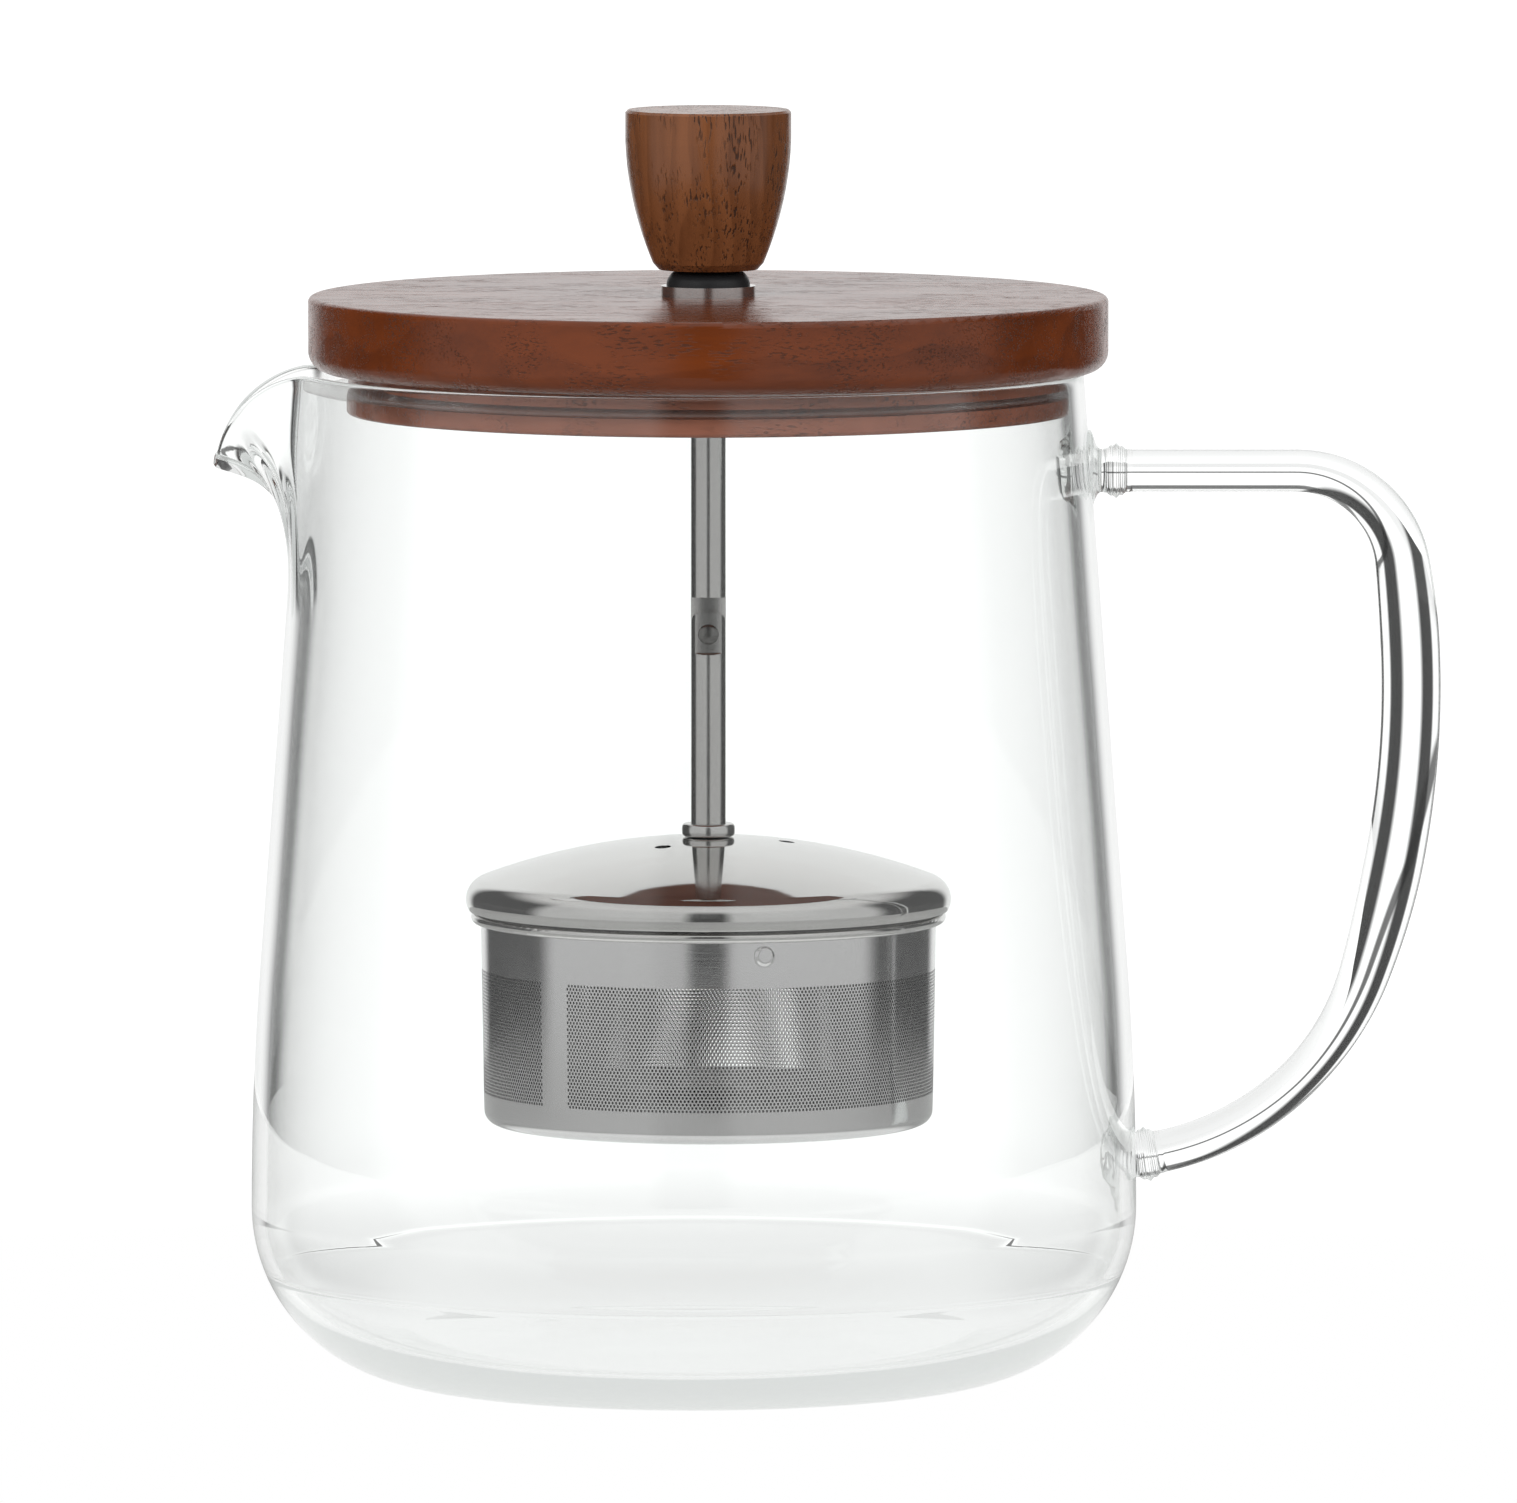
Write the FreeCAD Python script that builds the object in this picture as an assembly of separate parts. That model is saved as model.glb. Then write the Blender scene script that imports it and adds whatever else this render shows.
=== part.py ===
"""Glass teapot with a turned wooden lid and a lifting steel infuser.

Millimetres, +Z up. The origin is the centre of the flat base that the pot stands on.
The pouring lip points along -X and the handle along +X.
"""
import FreeCAD, Part
import math
import os

Vector = FreeCAD.Vector
UP = Vector(0, 0, 1)
AWAY = Vector(0, 1, 0)

# ---- glass body ----
RIM_Z = 139.3
BASE_R = 37.0
FLOOR_CORNER_R = 24.0
BELLY_ARC_R = 450.0
WALL_SLOPE = math.radians(4.6)
RIM_R = 53.6
WALL = 2.1
FLOOR_T = 4.0
INNER_CORNER_R = 19.0
SEAM_Z = 15.5
SEAM_R = 0.35

# ---- pouring lip ----
LIP_TIP_X = -66.2
LIP_NOSE_R = 8.0
LIP_BOTTOM_Z = 125.4
LIP_EDGE_R = 14.1
LIP_FLARE = math.radians(24.0)
LIP_KEEL_R = 5.0

# ---- handle ----
HANDLE_TOP_Z = 125.5
HANDLE_STRAIGHT_X = 82.95
HANDLE_BENDS = ((14.69, 81.94), (124.89, 26.26), (37.44, 70.15))
HANDLE_END_R = 2.95
HANDLE_GRIP_R = 4.1
PAD_R = 5.6
PAD_T = 3.4

# ---- lid ----
LID_X = 2.0
LID_R = 55.0
LID_Z = 139.4
LID_T = 10.2
LID_TOP_EDGE_R = 0.8
LID_LOW_EDGE_R = 2.7
PLUG_R = 49.5
PLUG_T = 5.8
GROOVE_Z = 136.1
GROOVE_T = 1.3
GROOVE_R = 47.5
SEAL_T = 1.1
SEAL_LIP_R = 51.4

# ---- bush through the lid ----
BUSH_R = 4.0
BUSH_BORE_R = 2.5
FLANGE_R = 6.5
FLANGE_T = 1.4
GROMMET_R = 5.75
GROMMET_T = 2.2
WASHER_R = 8.5
WASHER_T = 0.5
NUT_FLAT_R = 6.5
NUT_T = 2.1

# ---- stem ----
ROD_R = 2.4
PIN_Z = 103.0
LAP_FLAT = 1.55
LOWER_TAB_TOP = 106.0
UPPER_SHOULDER = 108.0
LOWER_SHOULDER = 100.5
UPPER_TAB_BOTTOM = 101.0
UPPER_ROD_TOP = 165.0
RIVET_SHANK_R = 0.8
RIVET_HEAD_R = 1.3
RIVET_END_Y = 2.0
COLLAR_R = 3.68
COLLAR_Z = 75.02
COLLAR_T = 1.8
STUD_R = 2.0
STUD_BOTTOM = 69.6

# ---- knob ----
KNOB_Z = 153.25
KNOB_TOP = 175.2
KNOB_TOP_R = 11.4
KNOB_MID_R = 10.35
KNOB_LOW_R = 7.6
KNOB_FOOT_R = 6.8
KNOB_EDGE_R = 0.35
INSERT_R = 4.0
INSERT_TOP = 166.0

# ---- infuser cover ----
CROWN_TOP = 75.0
CROWN_ARC_R = 90.0
CROWN_R = 31.4
ROLL_R = 3.1
ROLL_END = math.radians(-28.0)
SHEET = 0.6
VENT_R = 1.1
VENT_CIRCLE_R = 10.8
VENT_ANGLES = (-125.2, -5.2, 114.8)
SKIRT_R = 30.86
SKIRT_Z = 60.6
SKIRT_T = 0.4
COVER_WASHER_R = 4.5
COVER_WASHER_TOP = 74.28
COVER_NUT_FLAT_R = 3.5
COVER_NUT_T = 3.2

# ---- basket ----
BASKET_TOP = 64.0
BASKET_BOTTOM = 35.5
BASKET_TOP_R = 31.35
BASKET_LOW_R = 30.9
BASKET_T = 0.3
BASKET_CORNER_R = 1.8
BEAD_R = 0.75
BEAD_CENTRE_R = 31.95
DIMPLE_Z = 61.4
DIMPLE_R = 1.5
DIMPLE_OUT = 0.35
DIMPLE_ANGLES = (-75.8, 44.2, 164.2)


def at(x, z, y=0.0):
    """A point of the vertical plane through the axis."""
    return Vector(x, y, z)


def line(a, b):
    """A straight edge."""
    return Part.LineSegment(a, b).toShape()


def arc(a, b, c):
    """An arc from a through b to c."""
    return Part.Arc(a, b, c).toShape()


def turned(edges, x=0.0):
    """The solid that a closed outline in the XZ plane makes when turned about Z."""
    face = Part.Face(Part.Wire(edges))
    solid = face.revolve(Vector(0, 0, 0), UP, 360)
    solid.translate(Vector(x, 0, 0))
    return solid


def turned_points(points, x=0.0):
    """A turned solid whose outline is straight between its (radius, height) points."""
    corners = [at(r, z) for r, z in points]
    return turned([line(a, b) for a, b in zip(corners, corners[1:] + corners[:1])], x)


def disc(r, z, t, x=0.0, direction=UP):
    """A cylinder of radius r and thickness t standing on height z."""
    return Part.makeCylinder(r, t, Vector(x, 0, z), direction)


def tube(r_out, r_in, z, t, x=0.0):
    """A plain ring."""
    return disc(r_out, z, t, x).cut(disc(r_in, z - 1, t + 2, x))


def hexagon(flat_r, z, t, x):
    """A hexagonal prism, flat_r from its axis to each flat."""
    corner_r = flat_r / math.cos(math.radians(30))
    angles = [math.radians(60 * n) for n in range(7)]
    ring = [Vector(x + corner_r * math.cos(a), corner_r * math.sin(a), z) for a in angles]
    return Part.Face(Part.makePolygon(ring)).extrude(Vector(0, 0, t))


def on_circle(centre, r, degrees):
    """A point on a circle in the XZ plane, angles from +X towards +Z."""
    a = math.radians(degrees)
    return at(centre.x + r * math.cos(a), centre.z + r * math.sin(a))


def save(name, shape):
    """Write one node's STEP file and report its volume."""
    shape = shape.removeSplitter()
    solids = shape.Solids
    print(name, len(solids), round(shape.Volume, 1), shape.isValid())
    (solids[0] if len(solids) == 1 else shape).exportStep(f"parts/{name}.step")


# ---------------------------------------------------------------- glass

def wall_points():
    """The outer side of the pot: where the corner, the belly arc and the straight taper meet."""
    corner = Vector(BASE_R + FLOOR_CORNER_R, 0, FLOOR_CORNER_R)
    belly = at(corner.x - BELLY_ARC_R, corner.z)
    belly_end = on_circle(belly, BELLY_ARC_R, math.degrees(WALL_SLOPE))
    belly_mid = on_circle(belly, BELLY_ARC_R, math.degrees(WALL_SLOPE) / 2)
    return corner, belly_mid, belly_end


def outer_glass():
    """The pot's outside as one solid: flat base, round corner, belly, taper to the rim."""
    corner, belly_mid, belly_end = wall_points()
    low_mid = on_circle(at(BASE_R, FLOOR_CORNER_R), FLOOR_CORNER_R, -45)
    outline = [
        line(at(0, 0), at(BASE_R, 0)),
        arc(at(BASE_R, 0), low_mid, corner),
        arc(corner, belly_mid, belly_end),
        line(belly_end, at(RIM_R, RIM_Z)),
        line(at(RIM_R, RIM_Z), at(0, RIM_Z)),
        line(at(0, RIM_Z), at(0, 0)),
    ]
    return turned(outline)


def inner_glass(top):
    """The space inside the pot, one wall thickness in and closed at height top."""
    corner, belly_mid, belly_end = wall_points()
    low_r = corner.x - WALL - INNER_CORNER_R
    low_top = at(corner.x - WALL, FLOOR_T + INNER_CORNER_R)
    low_mid = on_circle(at(low_r, low_top.z), INNER_CORNER_R, -45)
    start = at(corner.x - WALL, corner.z)
    mid = at(belly_mid.x - WALL, belly_mid.z)
    end = at(belly_end.x - WALL, belly_end.z)
    rim = at(RIM_R - WALL, RIM_Z)
    over = at(rim.x + (rim.x - end.x) * (top - rim.z) / (rim.z - end.z), top)
    outline = [
        line(at(0, FLOOR_T), at(low_r, FLOOR_T)),
        arc(at(low_r, FLOOR_T), low_mid, low_top),
        line(low_top, start),
        arc(start, mid, end),
        line(end, over),
        line(over, at(0, top)),
        line(at(0, top), at(0, FLOOR_T)),
    ]
    return turned(outline)


def lip_hull(inset):
    """The beak of the pouring lip: a blunt nose with flaring sides and a rounded keel."""
    nose_r = LIP_NOSE_R - inset
    nose_x = LIP_TIP_X + LIP_NOSE_R
    bottom = LIP_BOTTOM_Z + inset
    side_x = nose_x - nose_r * math.sin(LIP_FLARE)
    side_y = nose_r * math.cos(LIP_FLARE)
    back_x = -40.0
    back_y = side_y + (back_x - side_x) * math.tan(LIP_FLARE)
    tip = Vector(LIP_TIP_X + inset, 0, bottom)
    left = Vector(side_x, side_y, bottom)
    right = Vector(side_x, -side_y, bottom)
    back_left = Vector(back_x, back_y, bottom)
    back_right = Vector(back_x, -back_y, bottom)
    outline = Part.Wire([
        arc(right, tip, left),
        line(left, back_left),
        line(back_left, back_right),
        line(back_right, right),
    ])
    hull = Part.Face(outline).extrude(Vector(0, 0, RIM_Z + 2 * inset - bottom))
    keel = [e for e in hull.Edges if on_keel(e, bottom, back_x)]
    return hull.makeFillet(LIP_KEEL_R - inset, keel)


def on_keel(edge, bottom, back_x):
    """Is the edge one of the hull's three lower edges that show outside the pot?"""
    box = edge.BoundBox
    return abs(box.ZMax - bottom) < 1e-6 and box.XMin < back_x - 1e-3


def lip_trim():
    """The quarter barrel that rounds the lip's edge down from the rim to the tip."""
    barrel_x = LIP_TIP_X + LIP_EDGE_R
    barrel = Part.makeCylinder(LIP_EDGE_R, 80, Vector(barrel_x, -40, LIP_BOTTOM_Z), AWAY)
    behind = Part.makeBox(60, 80, 60, Vector(barrel_x, -40, LIP_BOTTOM_Z - 30))
    return barrel.fuse(behind)


def glass_body():
    """The blown body: the turned pot with its drawn lip, hollowed out."""
    outside = outer_glass().fuse(lip_hull(0).common(lip_trim()))
    inside = inner_glass(RIM_Z + 5).fuse(lip_hull(WALL))
    body = outside.cut(inside)
    seam = Part.makeTorus(seam_radius(), SEAM_R, Vector(0, 0, SEAM_Z))
    return body.cut(seam)


def seam_radius():
    """Radius of the inner corner at the height of the seam left where the floor is joined."""
    centre_r = BASE_R + FLOOR_CORNER_R - WALL - INNER_CORNER_R
    drop = FLOOR_T + INNER_CORNER_R - SEAM_Z
    return centre_r + math.sqrt(INNER_CORNER_R ** 2 - drop ** 2)


def handle_path():
    """The handle's centre line: a level run, then three bends that turn ever inwards."""
    point = at(HANDLE_STRAIGHT_X, HANDLE_TOP_Z)
    edges = [line(at(RIM_R - 2, HANDLE_TOP_Z), point)]
    heading = 0.0
    for r, turn in HANDLE_BENDS:
        centre = at(point.x - r * math.sin(heading), point.z - r * math.cos(heading))
        steps = [heading + math.radians(turn) * n / 2 for n in (1, 2)]
        mid, end = [at(centre.x + r * math.sin(h), centre.z + r * math.cos(h)) for h in steps]
        edges.append(arc(point, mid, end))
        point = end
        heading = steps[-1]
    return edges, point


def handle():
    """A solid glass rod, thicker in the grip, with a flared pad fused to the wall at each end."""
    edges, end = handle_path()
    rod = Part.BRepOffsetAPI.MakePipeShell(Part.Wire(edges))
    radii = (HANDLE_END_R, HANDLE_END_R, HANDLE_GRIP_R, HANDLE_GRIP_R, HANDLE_END_R)
    places = [(edge, edge.FirstParameter) for edge in edges] + [(edges[-1], edges[-1].LastParameter)]
    for r, (edge, where) in zip(radii, places):
        circle = Part.Circle(edge.valueAt(where), edge.tangentAt(where), r)
        rod.add(Part.Wire(circle.toShape()))
    rod.build()
    rod.makeSolid()
    pads = [pad(HANDLE_TOP_Z, RIM_R - 2), pad(end.z, BASE_R + FLOOR_CORNER_R - 4)]
    whole = rod.shape().fuse(pads[0]).fuse(pads[1])
    return whole.cut(outer_glass())


def pad(z, x):
    """The flared foot where the rod is fused to the wall."""
    reach = x + PAD_T + 4
    points = [(0, x), (PAD_R, x), (PAD_R, reach - 1.6), (PAD_R - 1.4, reach), (0, reach)]
    corners = [Vector(at_x, 0, r) for r, at_x in points]
    edges = [line(a, b) for a, b in zip(corners, corners[1:] + corners[:1])]
    foot = Part.Face(Part.Wire(edges)).revolve(Vector(0, 0, 0), Vector(1, 0, 0), 360)
    foot.translate(Vector(0, 0, z))
    return foot


# ---------------------------------------------------------------- lid

def lid_disc():
    """The turned wooden disc, lightly eased above and well rounded below."""
    slab = disc(LID_R, LID_Z, LID_T, LID_X)
    top = [e for e in slab.Edges if e.BoundBox.ZMin > LID_Z + LID_T - 1e-6]
    slab = slab.makeFillet(LID_TOP_EDGE_R, top)
    low = [e for e in slab.Edges if e.BoundBox.ZMax < LID_Z + 1e-6]
    slab = slab.makeFillet(LID_LOW_EDGE_R, low)
    return slab.cut(disc(BUSH_R, LID_Z - 1, LID_T + 2, LID_X))


def lid_plug():
    """The wooden plug glued under the disc, with a groove for the seal."""
    low = LID_Z - PLUG_T
    block = disc(PLUG_R, low, PLUG_T, LID_X)
    edge = [e for e in block.Edges if e.BoundBox.ZMax < low + 1e-6]
    block = block.makeFillet(0.5, edge)
    block = block.cut(tube(PLUG_R + 2, GROOVE_R, GROOVE_Z, GROOVE_T, LID_X))
    return block.cut(disc(BUSH_R, low - 1, PLUG_T + 2, LID_X))


def seal_ring():
    """The soft ring in the groove. Its lip follows the neck, which the loose lid doesn't."""
    z = GROOVE_Z + (GROOVE_T - SEAL_T) / 2
    return disc(SEAL_LIP_R, z, SEAL_T).cut(disc(GROOVE_R + 0.1, z - 1, SEAL_T + 2, LID_X))


def stem_bush():
    """The flanged steel bush that guides the stem through the lid."""
    top = LID_Z + LID_T
    low = LID_Z - PLUG_T - WASHER_T - NUT_T
    bush = disc(BUSH_R, low, top - low, LID_X).fuse(disc(FLANGE_R, top, FLANGE_T, LID_X))
    return bush.cut(disc(BUSH_BORE_R, low - 1, top - low + FLANGE_T + 2, LID_X))


def grommet():
    """The soft domed ring that the knob comes down on."""
    z = LID_Z + LID_T + FLANGE_T
    shoulder = GROMMET_R - 1.6
    outline = [
        line(at(BUSH_BORE_R + 0.1, z), at(GROMMET_R, z)),
        arc(at(GROMMET_R, z), at(GROMMET_R - 0.45, z + 1.4), at(shoulder, z + GROMMET_T)),
        line(at(shoulder, z + GROMMET_T), at(BUSH_BORE_R + 0.1, z + GROMMET_T)),
        line(at(BUSH_BORE_R + 0.1, z + GROMMET_T), at(BUSH_BORE_R + 0.1, z)),
    ]
    return turned(outline, LID_X)


def bush_washer():
    """The flat washer between the plug and the nut."""
    return tube(WASHER_R, BUSH_R, LID_Z - PLUG_T - WASHER_T, WASHER_T, LID_X)


def bush_nut():
    """The thin nut that clamps the bush in the lid."""
    z = LID_Z - PLUG_T - WASHER_T - NUT_T
    return hexagon(NUT_FLAT_R, z, NUT_T, LID_X).cut(disc(BUSH_R, z - 1, NUT_T + 2, LID_X))


# ---------------------------------------------------------------- knob and stem

def knob():
    """The turned wooden knob: straight at the top, drawn in to a narrow foot."""
    waist = at(KNOB_LOW_R, KNOB_Z + 0.9)
    outline = [
        line(at(0, KNOB_Z), at(KNOB_FOOT_R, KNOB_Z)),
        line(at(KNOB_FOOT_R, KNOB_Z), waist),
        arc(waist, at(KNOB_MID_R, KNOB_Z + 9.5), at(KNOB_TOP_R, KNOB_TOP - 4.4)),
        line(at(KNOB_TOP_R, KNOB_TOP - 4.4), at(KNOB_TOP_R, KNOB_TOP - KNOB_EDGE_R)),
        line(at(KNOB_TOP_R, KNOB_TOP - KNOB_EDGE_R), at(KNOB_TOP_R - KNOB_EDGE_R, KNOB_TOP)),
        line(at(KNOB_TOP_R - KNOB_EDGE_R, KNOB_TOP), at(0, KNOB_TOP)),
        line(at(0, KNOB_TOP), at(0, KNOB_Z)),
    ]
    return turned(outline, LID_X).cut(disc(INSERT_R, KNOB_Z - 1, INSERT_TOP - KNOB_Z + 1, LID_X))


def knob_insert():
    """The threaded insert in the knob that the stem screws into."""
    sleeve = disc(INSERT_R, KNOB_Z + 0.4, INSERT_TOP - KNOB_Z - 0.4, LID_X)
    return sleeve.cut(disc(ROD_R, KNOB_Z - 1, UPPER_ROD_TOP - KNOB_Z + 1, LID_X))


def half_rod(z_low, z_high, y_from, y_to):
    """The slice of the rod between two heights and two planes across it."""
    block = Part.makeBox(20, y_to - y_from, z_high - z_low, Vector(LID_X - 10, y_from, z_low))
    return disc(ROD_R, z_low, z_high - z_low, LID_X).common(block)


def rivet_hole():
    """The cross hole through the knuckle."""
    return Part.makeCylinder(RIVET_SHANK_R, 20, Vector(LID_X, -10, PIN_Z), AWAY)


def upper_rod():
    """The upper half of the stem, with its half-lap tab at the back."""
    rod = disc(ROD_R, UPPER_SHOULDER, UPPER_ROD_TOP - UPPER_SHOULDER, LID_X)
    tab = half_rod(UPPER_TAB_BOTTOM, UPPER_SHOULDER, 0, LAP_FLAT)
    return rod.fuse(tab).cut(rivet_hole())


def lower_rod():
    """The lower half of the stem: front half-lap tab above, threaded stud below."""
    rod = disc(ROD_R, COLLAR_Z, LOWER_SHOULDER - COLLAR_Z, LID_X)
    tab = half_rod(LOWER_SHOULDER, LOWER_TAB_TOP, -LAP_FLAT, 0)
    stud = disc(STUD_R, STUD_BOTTOM, COLLAR_Z - STUD_BOTTOM, LID_X)
    return rod.fuse(tab).fuse(stud).cut(rivet_hole())


def knuckle_pin():
    """The rivet that joins the two halves of the stem."""
    head_t = RIVET_END_Y - LAP_FLAT
    shank = Part.makeCylinder(RIVET_SHANK_R, 2 * LAP_FLAT, Vector(LID_X, -LAP_FLAT, PIN_Z), AWAY)
    front = Part.makeCylinder(RIVET_HEAD_R, head_t, Vector(LID_X, -RIVET_END_Y, PIN_Z), AWAY)
    back = Part.makeCylinder(RIVET_HEAD_R, head_t, Vector(LID_X, LAP_FLAT, PIN_Z), AWAY)
    return shank.fuse(front).fuse(back)


def stem_collar():
    """The collar that stops the cover's crown against the stem."""
    ring = tube(COLLAR_R, ROD_R, COLLAR_Z, COLLAR_T, LID_X)
    rims = [e for e in ring.Edges if abs(e.BoundBox.XLength - 2 * COLLAR_R) < 0.01]
    rims = [e for e in rims if e.BoundBox.ZLength < 1e-6]
    return ring.makeFillet(0.4, rims)


# ---------------------------------------------------------------- infuser cover

def crown_outline(inset):
    """The cover's meridian, inset from its outside: crown arc, then the rolled edge."""
    crown = at(0, CROWN_TOP - CROWN_ARC_R)
    lean = math.asin(CROWN_R / CROWN_ARC_R)
    crown_r = CROWN_ARC_R - inset
    top = at(0, crown.z + crown_r)
    mid = at(crown_r * math.sin(lean / 2), crown.z + crown_r * math.cos(lean / 2))
    join = at(crown_r * math.sin(lean), crown.z + crown_r * math.cos(lean))
    roll_r = ROLL_R - inset
    roll = at((CROWN_ARC_R - ROLL_R) * math.sin(lean), crown.z + (CROWN_ARC_R - ROLL_R) * math.cos(lean))
    side = at(roll.x + roll_r * math.cos(0.4), roll.z + roll_r * math.sin(0.4))
    end = at(roll.x + roll_r * math.cos(ROLL_END), roll.z + roll_r * math.sin(ROLL_END))
    return top, mid, join, side, end


def infuser_cover():
    """The domed steel cover with its edge rolled under, a stud hole and three vents."""
    top, mid, join, side, end = crown_outline(0)
    in_top, in_mid, in_join, in_side, in_end = crown_outline(SHEET)
    outline = [
        arc(top, mid, join),
        arc(join, side, end),
        line(end, in_end),
        arc(in_end, in_side, in_join),
        arc(in_join, in_mid, in_top),
        line(in_top, top),
    ]
    cover = turned(outline, LID_X).cut(disc(STUD_R, CROWN_TOP - 5, 10, LID_X))
    for degrees in VENT_ANGLES:
        a = math.radians(degrees)
        x = LID_X + VENT_CIRCLE_R * math.cos(a)
        y = VENT_CIRCLE_R * math.sin(a)
        cover = cover.cut(Part.makeCylinder(VENT_R, 20, Vector(x, y, CROWN_TOP - 10)))
    return cover


def cover_skirt():
    """The ring welded inside the cover that plugs into the basket."""
    ring = tube(SKIRT_R, SKIRT_R - SKIRT_T, SKIRT_Z, CROWN_TOP - SKIRT_Z, LID_X)
    sphere = Part.makeSphere(CROWN_ARC_R - SHEET, Vector(LID_X, 0, CROWN_TOP - CROWN_ARC_R))
    return ring.common(sphere)


def cover_washer():
    """The washer under the crown."""
    return tube(COVER_WASHER_R, STUD_R, COVER_WASHER_TOP - SHEET, SHEET, LID_X)


def cover_nut():
    """The nut that clamps the cover to the stem's stud."""
    z = COVER_WASHER_TOP - SHEET - COVER_NUT_T
    return hexagon(COVER_NUT_FLAT_R, z, COVER_NUT_T, LID_X).cut(disc(STUD_R, z - 1, 6, LID_X))


# ---------------------------------------------------------------- basket

def basket_side(inset):
    """Corner points of the basket's outside, inset by a sheet's thickness."""
    top = at(BASKET_TOP_R - inset, BASKET_TOP)
    low = at(BASKET_LOW_R - inset, BASKET_BOTTOM + BASKET_CORNER_R)
    centre = at(BASKET_LOW_R - BASKET_CORNER_R, BASKET_BOTTOM + BASKET_CORNER_R)
    mid = on_circle(centre, BASKET_CORNER_R - inset, -45)
    foot = at(centre.x, BASKET_BOTTOM + inset)
    return top, low, mid, foot


def basket_solid(inset):
    """The basket's outside as one solid, inset by a sheet's thickness."""
    top, low, mid, foot = basket_side(inset)
    outline = [
        line(at(0, top.z), at(0, foot.z)),
        line(at(0, foot.z), foot),
        arc(foot, mid, low),
        line(low, top),
        line(top, at(0, top.z)),
    ]
    return turned(outline, LID_X)


def basket_wall():
    """The thin steel wall with three pressed dimples that catch the cover's skirt."""
    shell = basket_solid(0).cut(basket_solid(BASKET_T))
    floor_cut = disc(BASKET_LOW_R - BASKET_CORNER_R, BASKET_BOTTOM - 1, 2, LID_X)
    wall = shell.cut(floor_cut)
    for degrees in DIMPLE_ANGLES:
        wall = wall.fuse(dimple(degrees)).cut(basket_solid(BASKET_T))
    return wall


def dimple(degrees):
    """A low round boss on the outside of the wall."""
    a = math.radians(degrees)
    out = Vector(math.cos(a), math.sin(a), 0)
    foot = Vector(LID_X, 0, DIMPLE_Z) + out * (BASKET_TOP_R - 0.6)
    return Part.makeCylinder(DIMPLE_R, 0.6 + DIMPLE_OUT, foot, out)


def basket_floor():
    """The plain steel floor let into the wall's turned foot."""
    return disc(BASKET_LOW_R - BASKET_CORNER_R, BASKET_BOTTOM, BASKET_T, LID_X)


def basket_rim():
    """The rolled bead round the basket's mouth."""
    bead = Part.makeTorus(BEAD_CENTRE_R, BEAD_R, Vector(LID_X, 0, BASKET_TOP))
    return bead.cut(basket_solid(0).fuse(disc(BASKET_TOP_R, BASKET_TOP, 2, LID_X)))


NODES = {
    "glass_body": glass_body,
    "glass_handle": handle,
    "lid_disc": lid_disc,
    "lid_plug": lid_plug,
    "seal_ring": seal_ring,
    "stem_bush": stem_bush,
    "bush_washer": bush_washer,
    "bush_nut": bush_nut,
    "grommet": grommet,
    "knob": knob,
    "knob_insert": knob_insert,
    "upper_rod": upper_rod,
    "knuckle_pin": knuckle_pin,
    "lower_rod": lower_rod,
    "stem_collar": stem_collar,
    "infuser_cover": infuser_cover,
    "cover_skirt": cover_skirt,
    "cover_washer": cover_washer,
    "cover_nut": cover_nut,
    "basket_rim": basket_rim,
    "basket_wall": basket_wall,
    "basket_floor": basket_floor,
}

os.makedirs("parts", exist_ok=True)
for node, make in NODES.items():
    save(node, make())
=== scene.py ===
"""The finished surfaces of a glass teapot with a turned wooden lid and a lifting steel infuser.

Shapes are worked out in millimetres in the part's own frame, with +Z up and the lip along -X,
and go into the meshes in metres.
"""
import math

import bpy
import numpy as np
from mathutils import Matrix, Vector


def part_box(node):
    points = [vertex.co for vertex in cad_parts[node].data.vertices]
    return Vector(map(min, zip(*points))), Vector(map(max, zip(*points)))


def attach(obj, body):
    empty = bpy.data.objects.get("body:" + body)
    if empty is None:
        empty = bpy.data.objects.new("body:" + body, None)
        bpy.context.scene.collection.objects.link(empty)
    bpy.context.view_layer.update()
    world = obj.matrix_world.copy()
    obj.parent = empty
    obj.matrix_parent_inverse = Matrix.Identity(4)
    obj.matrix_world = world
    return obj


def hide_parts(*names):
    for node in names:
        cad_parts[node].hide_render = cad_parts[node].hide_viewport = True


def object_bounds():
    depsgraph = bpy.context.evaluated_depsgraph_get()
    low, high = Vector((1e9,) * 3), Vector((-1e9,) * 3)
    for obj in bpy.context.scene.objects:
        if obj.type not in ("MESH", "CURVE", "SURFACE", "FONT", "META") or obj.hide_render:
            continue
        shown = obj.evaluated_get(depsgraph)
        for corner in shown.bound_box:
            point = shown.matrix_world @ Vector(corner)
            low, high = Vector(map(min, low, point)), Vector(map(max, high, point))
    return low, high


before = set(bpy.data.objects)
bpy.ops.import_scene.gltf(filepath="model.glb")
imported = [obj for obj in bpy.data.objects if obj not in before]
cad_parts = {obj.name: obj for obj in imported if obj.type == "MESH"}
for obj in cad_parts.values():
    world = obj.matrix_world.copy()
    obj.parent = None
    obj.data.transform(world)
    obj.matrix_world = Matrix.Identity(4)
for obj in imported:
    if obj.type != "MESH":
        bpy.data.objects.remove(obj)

CAD_LOW, CAD_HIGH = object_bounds()
MM = 0.001


def node_box(node):
    """A node's lowest and highest corners in millimetres."""
    low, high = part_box(node)
    return np.array(low) / MM, np.array(high) / MM


# ---------------------------------------------------------------- mesh making

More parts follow.
